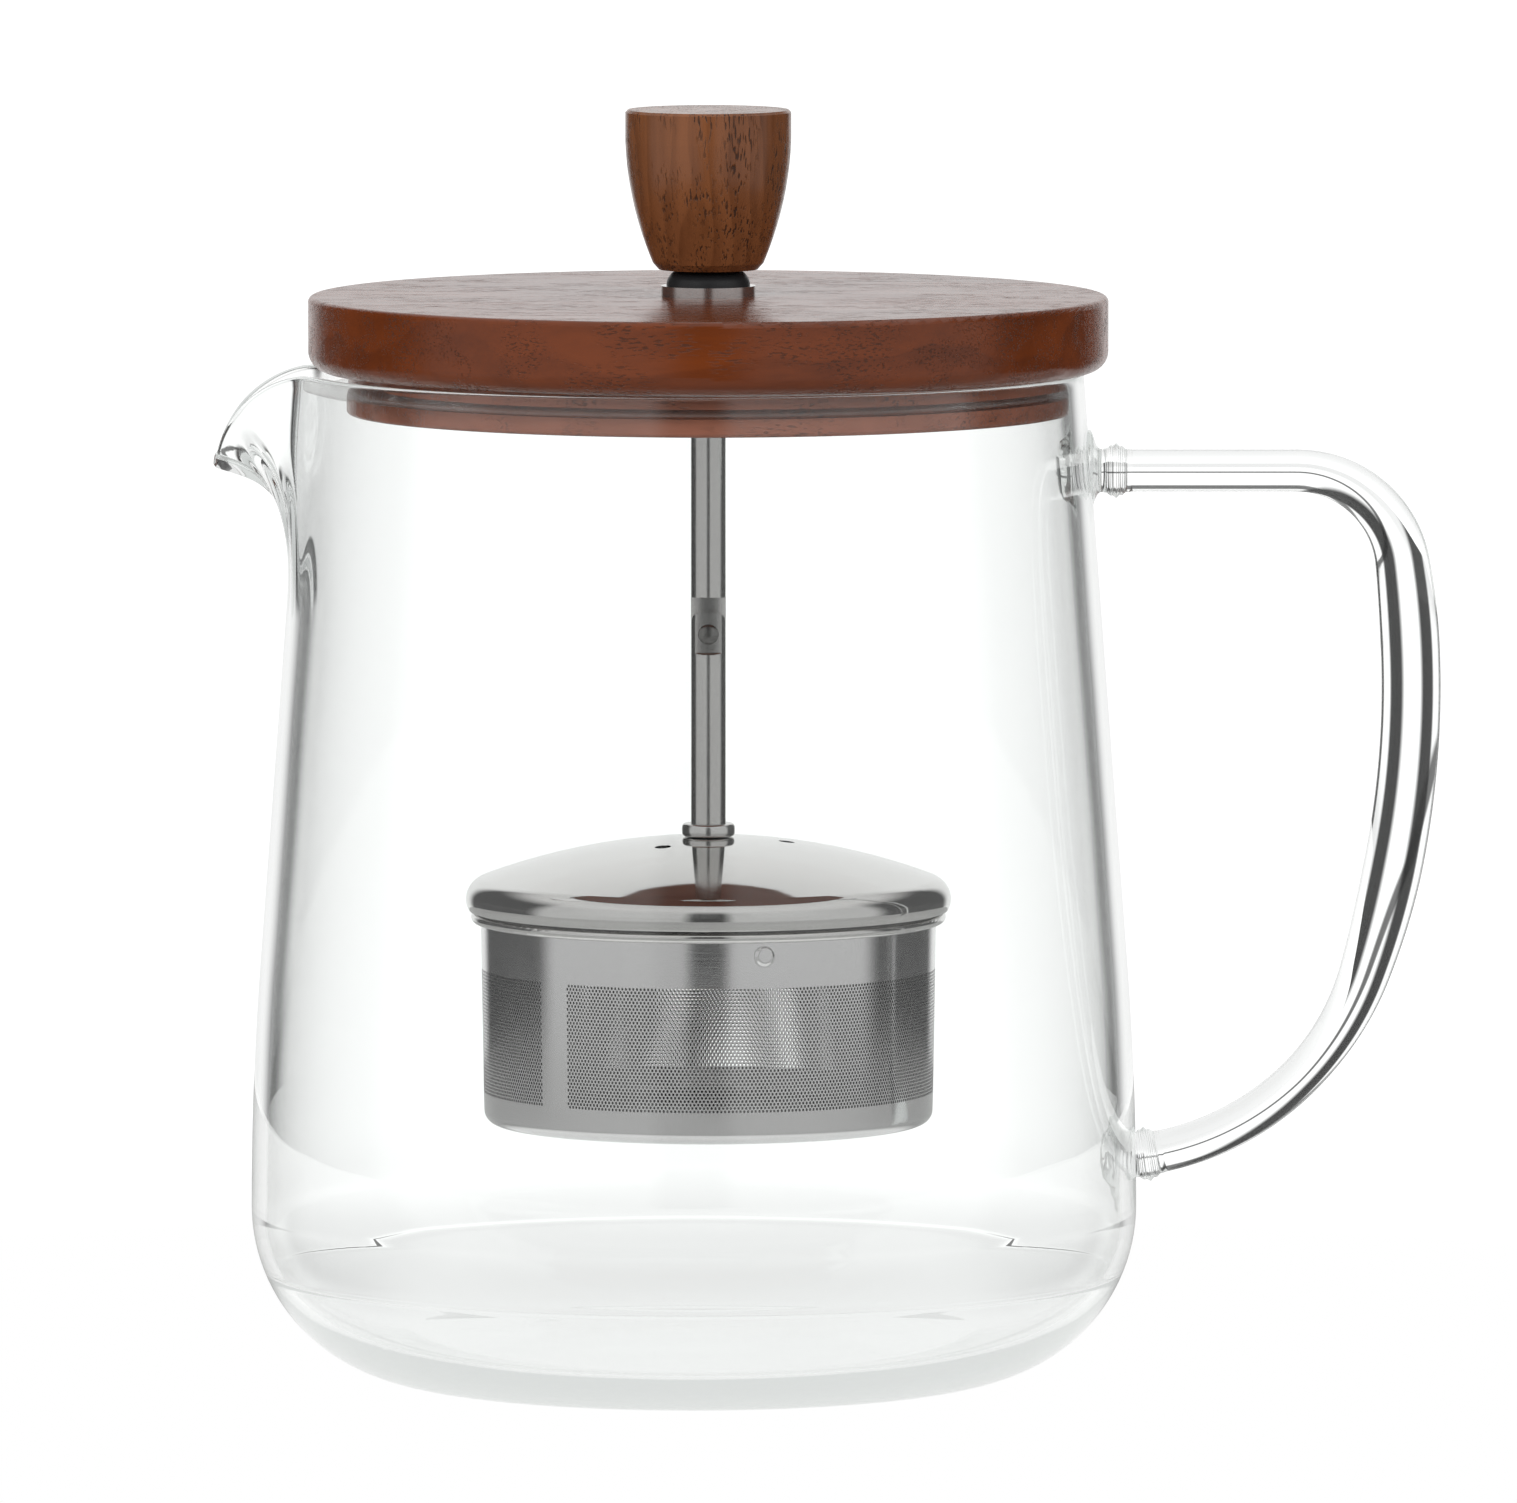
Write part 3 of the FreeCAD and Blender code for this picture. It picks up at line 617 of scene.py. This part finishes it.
def make_handle():
    """A circle of changing radius carried along the handle's centre line."""
    line, heading = handle_path()
    length = np.concatenate([[0], np.cumsum(np.linalg.norm(np.diff(line, axis=0), axis=1))])
    fine = np.unique(np.concatenate([np.linspace(0, 9, 46), np.linspace(9, length[-1] - 9, 170),
                                     np.linspace(length[-1] - 9, length[-1], 46)]))
    x, z, turn = (np.interp(fine, length, v)[:, None] for v in (line[:, 0], line[:, 1], heading))
    r = handle_radius(fine)[:, None]
    a = np.linspace(0, 2 * math.pi, 65)[:-1]
    grid = np.stack([x - r * np.cos(a) * np.sin(turn), r * np.sin(a) + 0 * x,
                     z + r * np.cos(a) * np.cos(turn)], axis=-1)
    points, faces = skin(grid)
    put("handle_glass", points, faces, "pot", HANDLE_GLASS, ("glass_handle",), crease=70)


# ---------------------------------------------------------------- basket

WALL_LOW, WALL_HIGH = node_box("basket_wall")
BASKET_TOP_R = 31.35
BASKET_LOW_R = 30.9
BASKET_T = 0.3
BASKET_CORNER_R = 1.8
FIELD_LOW = 39.9
FIELD_HIGH = 57.0
HOLE_ROWS = 37
HOLE_COLUMNS = 372
HOLE_R = 0.2
LAP_START = math.radians(-136.5)
LAP_END = math.radians(-128.0)
DIMPLE_Z = 61.4
DIMPLE_R = 1.55
DIMPLE_OUT = 0.35
DIMPLE_ANGLES = (-75.8, 44.2, 164.2)
AXIS_X = (WALL_LOW[0] + WALL_HIGH[0]) / 2


def basket_radius(z):
    """The wall's outer radius at a height: it draws in a little towards the bottom."""
    share = (z - WALL_LOW[2]) / (WALL_HIGH[2] - WALL_LOW[2])
    return BASKET_LOW_R + (BASKET_TOP_R - BASKET_LOW_R) * share


def on_wall(angle, z, inset=0.0):
    """Points of the basket wall, set in by a depth."""
    r = basket_radius(z) - inset
    return np.stack([AXIS_X + r * np.cos(angle), r * np.sin(angle), z + 0 * angle], axis=-1)


def mesh_sector(first, last):
    """Part of the etched wall from one column of bricks to another.

    Each brick has six corners, because its neighbours above and below are shifted by half a
    brick, and a six-sided hole in its middle. Bricks in the lap strip have no hole.
    """
    pitch = 2 * math.pi / HOLE_COLUMNS
    tall = (FIELD_HIGH - FIELD_LOW) / HOLE_ROWS
    row, column = np.meshgrid(np.arange(HOLE_ROWS), np.arange(first, last), indexing="ij")
    row, column = row.ravel(), column.ravel()
    left = 2 * column + row % 2
    width = 2 * (last - first) + 2
    low = row * width + left - 2 * first
    high = (row + 1) * width + left - 2 * first
    corners = np.stack([low, low + 1, low + 2, high + 2, high + 1, high], axis=1)
    lattice_row, lattice_half = np.meshgrid(np.arange(HOLE_ROWS + 1), np.arange(width), indexing="ij")
    lattice_angle = LAP_START + (lattice_half.ravel() / 2 + first) * pitch
    lattice_z = FIELD_LOW + lattice_row.ravel() * tall
    centre_angle = LAP_START + (left / 2 + 0.5) * pitch
    centre_z = FIELD_LOW + (row + 0.5) * tall
    pierced = np.flatnonzero((centre_angle - LAP_START) % (2 * math.pi) > LAP_END - LAP_START)
    plain = np.setdiff1d(np.arange(len(row)), pierced)
    spoke = np.radians([225, 270, 315, 45, 90, 135])
    hole_angle = centre_angle[pierced, None] + HOLE_R * np.cos(spoke) / BASKET_LOW_R
    hole_z = centre_z[pierced, None] + HOLE_R * np.sin(spoke)
    angle = np.concatenate([lattice_angle, hole_angle.ravel()])
    z = np.concatenate([lattice_z, hole_z.ravel()])
    rim = len(lattice_angle) + np.arange(len(pierced) * 6).reshape(-1, 6)
    around = np.stack([corners[pierced], np.roll(corners[pierced], -1, axis=1),
                       np.roll(rim, -1, axis=1), rim], axis=-1).reshape(-1, 4)
    solid = np.concatenate([corners[plain][:, [0, 1, 4, 5]], corners[plain][:, [1, 2, 3, 4]]])
    used, quads = np.unique(np.concatenate([around, solid]), return_inverse=True)
    quads = quads.reshape(-1, 4)
    return pierced_sheet(on_wall(angle, z)[used], on_wall(angle, z, BASKET_T)[used], quads)


def paint_inside_shade(material):
    """Paints shade on the inner side of the sheet: by its distance from the axis, the inner side takes a dark
    steel colour and the outer side keeps the sheet colour.
    """
    tree = material.node_tree
    parts = node(tree, "ShaderNodeSeparateXYZ")
    tree.links.new(placed(tree), parts.inputs[0])
    x = maths(tree, "SUBTRACT", parts.outputs["X"], AXIS_X * MM)
    y = parts.outputs["Y"]
    squares = maths(tree, "ADD", maths(tree, "MULTIPLY", x, x), maths(tree, "MULTIPLY", y, y))
    reach = maths(tree, "SQRT", squares)
    slope = (BASKET_TOP_R - BASKET_LOW_R) / (WALL_HIGH[2] - WALL_LOW[2])
    foot_r = BASKET_LOW_R - slope * WALL_LOW[2] - BASKET_T * 0.4
    skin_r = maths(tree, "ADD", maths(tree, "MULTIPLY", parts.outputs["Z"], slope), foot_r * MM)
    outside = maths(tree, "GREATER_THAN", reach, skin_r)
    # Painted shade: the inner side is coloured dark, the outer side keeps the plain sheet colour.
    colour = blended(tree, outside, (*INSIDE_SHADE_COLOUR, 1), (*SHEET_COLOUR, 1))
    tree.links.new(colour, tree.nodes["Principled BSDF"].inputs["Base Color"])


def band_columns():
    """Column angles a degree apart, and close together at each dimple."""
    close = np.radians(np.add.outer(DIMPLE_ANGLES, np.linspace(-3.6, 3.6, 49)).ravel()) % (2 * math.pi)
    even = np.radians(np.arange(0, 360, 1.0))
    apart = np.abs((even[:, None] - close + math.pi) % (2 * math.pi) - math.pi).min(axis=1)
    return np.unique(np.concatenate([even[apart > 0.004], close]).round(6))


def make_basket():
    """The drawn cup: a plain band with its dimples, the etched field in four sectors, and a
    plain foot band turned in over the floor."""
    quarter = HOLE_COLUMNS // 4
    for part in range(4):
        points, faces = mesh_sector(part * quarter, (part + 1) * quarter)
        put(f"basket_mesh_{part + 1}", points, faces, "basket", MESH_STEEL,
            ("basket_wall",), crease=30)
    theta = band_columns()
    top = np.linspace(FIELD_HIGH, WALL_HIGH[2], 60)[:, None]
    out = 0 * top * theta
    for degrees in DIMPLE_ANGLES:
        angle = (theta - math.radians(degrees) + math.pi) % (2 * math.pi) - math.pi
        away = np.hypot(angle * BASKET_TOP_R, top - DIMPLE_Z)
        out = out + DIMPLE_OUT * (1 - smooth_step(away, DIMPLE_R * 0.6, DIMPLE_R * 0.95))
    band = np.concatenate([on_wall(theta, top, -out), on_wall(theta, top[::-1], BASKET_T - out[::-1])])
    points, faces = skin(band, loop=True)
    put("basket_top_band", points, faces, "basket", SHEET_STEEL, crease=30)
    low = WALL_LOW[2]
    corner = (BASKET_LOW_R - BASKET_CORNER_R, low + BASKET_CORNER_R)
    outside = np.vstack([
        [[basket_radius(FIELD_LOW), FIELD_LOW]],
        circle_arc(corner, BASKET_CORNER_R, 0, -90, 14)])
    inside = np.vstack([
        circle_arc(corner, BASKET_CORNER_R - BASKET_T, -90, 0, 14),
        [[basket_radius(FIELD_LOW) - BASKET_T, FIELD_LOW]]])
    points, faces = skin(turned(np.vstack([outside, inside]), theta, AXIS_X), loop=True)
    put("basket_foot_band", points, faces, "basket", SHEET_STEEL, crease=50)


# ---------------------------------------------------------------- seal, stem and knuckle

RING = np.linspace(0, 2 * math.pi, 97)[:-1]
SEAL_LOW, SEAL_HIGH = node_box("seal_ring")
SEAL_ROOT_R = 47.6
SEAL_LIP_R = 51.4
SEAL_LIP_T = 0.35
ROD_R = 2.4
STUD_R = 2.0
LAP_FLAT = 1.5
TAB_CORNER_R = 1.3
RIVET_HEAD_R = 1.42
RIVET_RISE = 0.42
RIVET_SHANK_R = 0.8
PIN_Z = 103.0
COVER_TOP_Z = 75.0
LOW_SHOULDER_Z = 100.5
HIGH_SHOULDER_Z = 108.0
COLLAR_R = 3.68
COLLAR_EDGE = 0.55


def make_seal():
    """A soft ring whose section tapers from its root in the plug's groove, on the lid's axis,
    to a thin lip on the pot's axis."""
    theta = np.linspace(0, 2 * math.pi, 241)[:-1]
    t = np.linspace(0, 1, 9)[:, None]
    middle = (SEAL_LOW[2] + SEAL_HIGH[2]) / 2
    half = ((SEAL_HIGH[2] - SEAL_LOW[2]) * (1 - t ** 0.6) + SEAL_LIP_T * t ** 0.6) / 2
    r = SEAL_ROOT_R * (1 - t) + SEAL_LIP_R * t
    x = AXIS_X * (1 - t) + r * np.cos(theta)
    y = r * np.sin(theta)
    top = np.stack([x, y, middle + half + 0 * theta], axis=-1)
    low = np.stack([x, y, middle - half + 0 * theta], axis=-1)[::-1]
    points, faces = skin(np.concatenate([top, low]), loop=True)
    put("seal_lip", points, faces, "lid", SEAL_RUBBER, ("seal_ring",), crease=50)


def lapped_rod(heights, radii, front, back, half_width):
    """A round rod cut by two flats across Y and narrowed across X, all changing with height.

    The flats are crowned a little, so they catch light like filed metal.
    """
    r, near, far, wide = (np.asarray(v)[:, None] for v in (radii, front, back, half_width))
    x = np.clip(r * np.cos(RING), -wide, wide)
    crown = 0.16 * (1 - (x / ROD_R) ** 2)
    y = np.clip(r * np.sin(RING), near - crown, far + crown)
    return np.stack([AXIS_X + x, y, np.asarray(heights)[:, None] + 0 * x], axis=-1)


def tab_width(distance):
    """Half the width of a lap tab at a distance from its end: square with round corners."""
    inside = np.clip(TAB_CORNER_R - distance, 0, TAB_CORNER_R)
    return ROD_R - TAB_CORNER_R + np.sqrt(TAB_CORNER_R ** 2 - inside ** 2 + 1e-6)


def make_rods():
    """The stem's two halves. Each ends in a half-lap tab with round corners and a soft shoulder."""
    low_box, high_box = node_box("lower_rod")
    tab_top, shoulder = high_box[2], LOW_SHOULDER_Z
    z = np.concatenate([np.linspace(low_box[2], COVER_TOP_Z, 8),
                        np.linspace(COVER_TOP_Z + 0.05, shoulder - 0.7, 24),
                        np.linspace(shoulder - 0.65, shoulder, 10),
                        np.linspace(shoulder + 0.1, tab_top, 30)])
    r = np.where(z < COVER_TOP_Z + 0.02, STUD_R, ROD_R)
    lap = smooth_step(z, shoulder - 0.55, shoulder)
    front = -3 + (3 - LAP_FLAT) * lap
    back = 3 - 3.12 * smooth_step(z, shoulder - 0.12, shoulder)
    points, faces = skin(lapped_rod(z, r, front, back, tab_width(tab_top - z)))
    put("lower_rod_turned", points, faces, "plunger", ROD_STEEL, ("lower_rod",), crease=32)
    low_box, high_box = node_box("upper_rod")
    tab_end, shoulder = low_box[2], HIGH_SHOULDER_Z
    z = np.concatenate([np.linspace(tab_end, shoulder - 0.1, 36), np.linspace(shoulder, shoulder + 0.65, 10),
                        np.linspace(shoulder + 0.7, high_box[2], 40)])
    lap = 1 - smooth_step(z, shoulder, shoulder + 0.55)
    back = 3 - (3 - LAP_FLAT) * lap
    front = -3 + 3.14 * (1 - smooth_step(z, shoulder, shoulder + 0.12))
    points, faces = skin(lapped_rod(z, ROD_R + 0 * z, front, back, tab_width(z - tab_end)))
    put("upper_rod_turned", points, faces, "plunger", ROD_STEEL, ("upper_rod",), crease=32)


def make_rivet():
    """A round rivet along Y: a domed head at each end of a plain shank."""
    low, high = node_box("knuckle_pin")
    t = np.linspace(0.06, 1, 10)
    head_r = RIVET_HEAD_R * np.sin(t * math.pi / 2)
    rise = RIVET_RISE * (1 - np.cos(t * math.pi / 2))
    length = high[1] - low[1]
    shank = [[RIVET_SHANK_R, 0.5], [RIVET_SHANK_R, length - 0.5]]
    profile = np.vstack([np.stack([head_r, rise], axis=-1), shank,
                         np.stack([head_r, length - rise], axis=-1)[::-1]])
    r, along = profile[:, 0][:, None], profile[:, 1][:, None]
    grid = np.stack([AXIS_X + r * np.cos(RING), low[1] + along + 0 * RING, PIN_Z + r * np.sin(RING)], axis=-1)
    points, faces = skin(grid)
    put("knuckle_rivet", points, faces, "plunger", RIVET_STEEL, ("knuckle_pin",), crease=45)


def make_collar():
    """The ring that the cover hangs from: a band with full round edges."""
    low, high = node_box("stem_collar")
    a = np.linspace(-math.pi / 2, math.pi / 2, 22)
    middle, half = (low[2] + high[2]) / 2, (high[2] - low[2]) / 2
    r = COLLAR_R - COLLAR_EDGE + COLLAR_EDGE * np.abs(np.cos(a)) ** 0.7
    z = middle + half * np.sign(np.sin(a)) * np.abs(np.sin(a)) ** 0.75
    bore = ROD_R + 0.02
    profile = np.vstack([[[bore, low[2]]], np.stack([r, z], axis=-1), [[bore, high[2]]]])
    points, faces = skin(turned(profile, RING, AXIS_X), loop=True)
    put("collar_ring", points, faces, "plunger", TURNED_STEEL, ("stem_collar",), crease=50)


# ---------------------------------------------------------------- studio

FLOOR_R = 0.42
STRAIGHT_WHITE = 1.18


def straight_sight(tree):
    """1 for the camera's own rays and those that only glass has bent, 0 after any reflection."""
    path = node(tree, "ShaderNodeLightPath")
    turned_back = maths(tree, "ADD", path.outputs["Glossy Depth"], path.outputs["Diffuse Depth"])
    return maths(tree, "LESS_THAN", turned_back, 0.5), path.outputs["Is Camera Ray"]


def make_floor():
    """A round pale table top: white to the camera, with painted shade making it greyer near the pot when seen
    through glass, a painted pool of light under the pot and dark further out in reflections, and pale again
    in light that the glass alone has turned back."""
    made, tree, shader = finish_of("table_top")
    shader.inputs["Base Color"].default_value = (0.35, 0.35, 0.345, 1)
    shader.inputs["Roughness"].default_value = 0.6
    bump(tree, shader, noise(tree, placed(tree), 900.0, 2.0), 0.05, 0.00005)
    straight, camera = straight_sight(tree)
    away = node(tree, "ShaderNodeVectorMath", operation="LENGTH")
    tree.links.new(placed(tree), away.inputs[0])
    away = away.outputs["Value"]
    # Painted shade: seen straight through glass, the table glows greyer near the pot.
    through = maths(tree, "MAXIMUM", spread(tree, away, 0.08, 0.36, 0.88, STRAIGHT_WHITE), camera)
    # Painted light: in reflections the table glows pale under the pot and dark further out.
    turned_back = spread(tree, away, 0.062, 0.1, 0.62, 0.05)
    path = node(tree, "ShaderNodeLightPath")
    within = maths(tree, "MULTIPLY", maths(tree, "GREATER_THAN", path.outputs["Transmission Depth"], 0.5),
                   maths(tree, "LESS_THAN", path.outputs["Transmission Depth"], 2.5))
    turned_back = maths(tree, "MAXIMUM", turned_back, maths(tree, "MULTIPLY", within, 0.72))
    glow = node(tree, "ShaderNodeEmission", Color=(1, 1, 1, 1))
    tree.links.new(maths(tree, "ADD", maths(tree, "MULTIPLY", through, straight),
                         maths(tree, "MULTIPLY", turned_back, maths(tree, "SUBTRACT", 1.0, straight))),
                   glow.inputs["Strength"])
    both = node(tree, "ShaderNodeAddShader")
    either = node(tree, "ShaderNodeMixShader")
    tree.links.new(shader.outputs[0], both.inputs[0])
    tree.links.new(glow.outputs[0], both.inputs[1])
    tree.links.new(straight, either.inputs[0])
    tree.links.new(both.outputs[0], either.inputs[1])
    tree.links.new(glow.outputs[0], either.inputs[2])
    tree.links.new(either.outputs[0], tree.nodes["Material Output"].inputs["Surface"])
    a = np.linspace(0, 2 * math.pi, 97)[:-1]
    ring = np.stack([FLOOR_R * np.cos(a), FLOOR_R * np.sin(a), 0 * a], axis=-1)
    mesh = bpy.data.meshes.new("table_top")
    mesh.from_pydata(ring.tolist(), [], [tuple(range(len(a)))])
    mesh.materials.append(made)
    top = bpy.data.objects.new("table_top", mesh)
    bpy.context.scene.collection.objects.link(top)
    top.location.z = float(CAD_LOW[2]) - 0.0002


def make_sky():
    """Soft boxes all round. Straight sight through the glass meets white boxes every 45 degrees
    with dark gaps between them, a dark line at the table's edge and a dark band higher up, which
    draw the glass's edges. Reflections meet two wide boxes in front, a dark gap at the camera,
    dark sides, a white cloth behind, and a soft box overhead."""
    world = bpy.data.worlds.new("soft_boxes")
    world.use_nodes = True
    bpy.context.scene.world = world
    tree = world.node_tree
    tree.nodes.clear()
    direction = node(tree, "ShaderNodeTexCoord").outputs["Generated"]
    parts = node(tree, "ShaderNodeSeparateXYZ")
    tree.links.new(direction, parts.inputs[0])
    azimuth = maths(tree, "ARCTAN2", parts.outputs["X"], maths(tree, "MULTIPLY", parts.outputs["Y"], -1.0))
    wave = maths(tree, "COSINE", maths(tree, "MULTIPLY", azimuth, 8.0))
    straight_boxes = spread(tree, wave, -0.5, 0.35, 0.04, STRAIGHT_WHITE)
    height = parts.outputs["Z"]
    table_edge = maths(tree, "MULTIPLY", spread(tree, height, -0.052, -0.036),
                       spread(tree, height, -0.012, 0.004, 1.0, 0.0))
    gap_above = maths(tree, "MULTIPLY", spread(tree, height, 0.42, 0.5),
                      spread(tree, height, 0.66, 0.74, 1.0, 0.0))
    gaps = maths(tree, "MULTIPLY", maths(tree, "MAXIMUM", table_edge, gap_above), 0.85)
    straight_boxes = maths(tree, "MULTIPLY", straight_boxes, maths(tree, "SUBTRACT", 1.0, gaps))
    straight_boxes = maths(tree, "MULTIPLY", straight_boxes, spread(tree, height, -0.2, -0.14, 0.78, 1.0))
    aside = maths(tree, "ABSOLUTE", azimuth)
    front = maths(tree, "MULTIPLY", spread(tree, aside, 0.1, 0.24, 0.12, 1.0),
                  spread(tree, aside, 1.45, 1.7, 0.62, 0.06))
    turned_boxes = maths(tree, "MAXIMUM", front, spread(tree, aside, 2.55, 2.8, 0.0, 0.95))
    overhead = spread(tree, parts.outputs["Z"], 0.45, 0.75)
    turned_boxes = maths(tree, "ADD", maths(tree, "MULTIPLY", overhead, 0.8),
                         maths(tree, "MULTIPLY", turned_boxes, maths(tree, "SUBTRACT", 1.0, overhead)))
    straight, camera = straight_sight(tree)
    straight_part = maths(tree, "MULTIPLY", straight_boxes, straight)
    turned_part = maths(tree, "MULTIPLY", turned_boxes, maths(tree, "SUBTRACT", 1.0, straight))
    strength = maths(tree, "MAXIMUM", maths(tree, "ADD", straight_part, turned_part), camera)
    glow = node(tree, "ShaderNodeBackground", Color=(1, 1, 1, 1))
    tree.links.new(strength, glow.inputs["Strength"])
    out = node(tree, "ShaderNodeOutputWorld")
    tree.links.new(glow.outputs[0], out.inputs["Surface"])


def lamp(name, place, aim, size, power):
    """A square soft lamp at a place, aimed at a point, all in metres."""
    light = bpy.data.lights.new(name, "AREA")
    light.shape = "SQUARE"
    light.size = size
    light.energy = power
    thing = bpy.data.objects.new(name, light)
    thing.location = place
    thing.rotation_euler = (Vector(aim) - Vector(place)).to_track_quat("-Z", "Y").to_euler()
    thing.visible_glossy = False
    thing.visible_transmission = False
    bpy.context.scene.collection.objects.link(thing)


CAMERA_PLACE = (0.0089, -2.8, 0.336)
CAMERA_AIM = (0.0089, 0.0, 0.0867)
CAMERA_LENS = 484.5


def make_camera():
    """A long lens a little above the lid, square on to the pot."""
    camera = bpy.data.cameras.new("camera")
    camera.lens = CAMERA_LENS
    camera.sensor_width = 36.0
    camera.clip_start = 0.1
    camera.clip_end = 60.0
    thing = bpy.data.objects.new("camera", camera)
    thing.location = CAMERA_PLACE
    thing.rotation_euler = (Vector(CAMERA_AIM) - Vector(CAMERA_PLACE)).to_track_quat("-Z", "Y").to_euler()
    bpy.context.scene.collection.objects.link(thing)
    bpy.context.scene.camera = thing


make_camera()
bpy.context.scene.view_settings.view_transform = "Standard"
make_floor()
make_sky()
lamp("front_left", (-1.1, -1.5, 0.9), (0, 0, 0.1), 0.8, 26)
lamp("front_right", (1.3, -1.1, 0.8), (0, 0, 0.1), 0.7, 14)
dress_nodes()
make_pot()
make_handle()
make_basket()
# Painted shade on the inner side of the etched basket wall.
paint_inside_shade(MESH_STEEL)
make_seal()
make_rods()
make_rivet()
make_collar()
